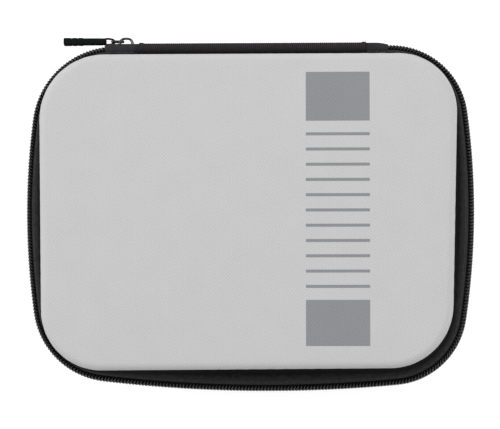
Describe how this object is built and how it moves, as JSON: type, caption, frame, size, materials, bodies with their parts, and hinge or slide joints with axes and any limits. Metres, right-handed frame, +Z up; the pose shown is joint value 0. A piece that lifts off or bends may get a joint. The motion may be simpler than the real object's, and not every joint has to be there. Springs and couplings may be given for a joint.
{
  "type": "launch monitor carry case",
  "caption": "Semi-rigid zipped carry case for a golf launch monitor: moulded shell halves, fabric spine, foam insert and mesh pocket.",
  "frame": {"origin": "centre of the flat underside that the case rests on", "axes": "+X along the longest side, +Y to the hinge side, +Z up through the lid"},
  "size_m": [0.2058, 0.1636, 0.054],
  "materials": {
    "eva_foam": "moulded closed-cell foam, matt",
    "panel_nylon": "light grey fine woven nylon with a printed dark grey pattern of bars",
    "underside_nylon": "black fine woven nylon",
    "side_nylon": "black fine woven nylon",
    "trim_tape": "black narrow woven tape",
    "tricot_lining": "charcoal brushed knit",
    "zip_coil": "black nylon coil, slight gloss",
    "zip_tape": "black woven zip tape",
    "spine_webbing": "black ribbed grosgrain",
    "insert_foam": "dark grey open-cell foam",
    "dark_metal": "black plated zinc, worn at the edges",
    "pocket_net": "black knitted mesh",
    "pocket_elastic": "black folded elastic",
    "pull_cord": "black braided cord",
    "pull_rubber": "black moulded rubber"
  },
  "bodies": {
    "base": {"base_shell": "eva_foam", "base_panel_fabric": "underside_nylon", "base_side_fabric": "side_nylon", "base_piping": "trim_tape", "base_lining": "tricot_lining", "base_binding": "trim_tape", "base_zip_coil": "zip_coil", "base_zip_tape": "zip_tape", "base_spine_flap": "spine_webbing", "foam_bottom_layer": "insert_foam", "foam_top_layer": "insert_foam", "zip_start_stop": "dark_metal", "zip_end_stop": "dark_metal"},
    "lid": {"lid_shell": "eva_foam", "lid_panel_fabric": "panel_nylon", "lid_side_fabric": "side_nylon", "lid_piping": "trim_tape", "lid_lining": "tricot_lining", "lid_binding": "trim_tape", "lid_zip_coil": "zip_coil", "lid_zip_tape": "zip_tape", "lid_spine_flap": "spine_webbing", "mesh_pocket_net": "pocket_net", "mesh_pocket_binding": "trim_tape", "mesh_pocket_hem": "pocket_elastic"},
    "spine": {"spine_strip": "spine_webbing", "spine_lining": "tricot_lining"},
    "slider": {"slider_body": "dark_metal", "slider_crown": "dark_metal"},
    "link": {"pull_link": "dark_metal"},
    "pull": {"pull_cord": "pull_cord", "pull_grip": "pull_rubber"}
  },
  "joints": [
    {"name": "spine_fold", "type": "hinge", "parent": "base", "child": "spine", "pos_m": [0, 0.08, 0.021], "axis": [-1, 0, 0], "range_deg": [0, 90]},
    {"name": "lid_fold", "type": "hinge", "parent": "spine", "child": "lid", "pos_m": [0, 0.08, 0.033], "axis": [-1, 0, 0], "range_deg": [0, 90]},
    {"name": "slider_travel", "type": "hinge", "parent": "base", "child": "slider", "pos_m": [-0.06235, 0.0408, 0.027], "axis": [0, 0, 1], "range_deg": [0, 78]},
    {"name": "link_swing", "type": "hinge", "parent": "slider", "child": "link", "pos_m": [-0.0587, 0.0816, 0.026], "axis": [0, 0, -1], "range_deg": [0, 30]},
    {"name": "grip_swing", "type": "hinge", "parent": "link", "child": "pull", "pos_m": [-0.064, 0.0816, 0.026], "axis": [0, -1, 0], "range_deg": [0, 90], "deforming": ["pull_cord"]}
  ],
  "couplings": [
    {"joint": "spine_fold", "follows": "lid_fold", "ratio": 1}
  ]
}
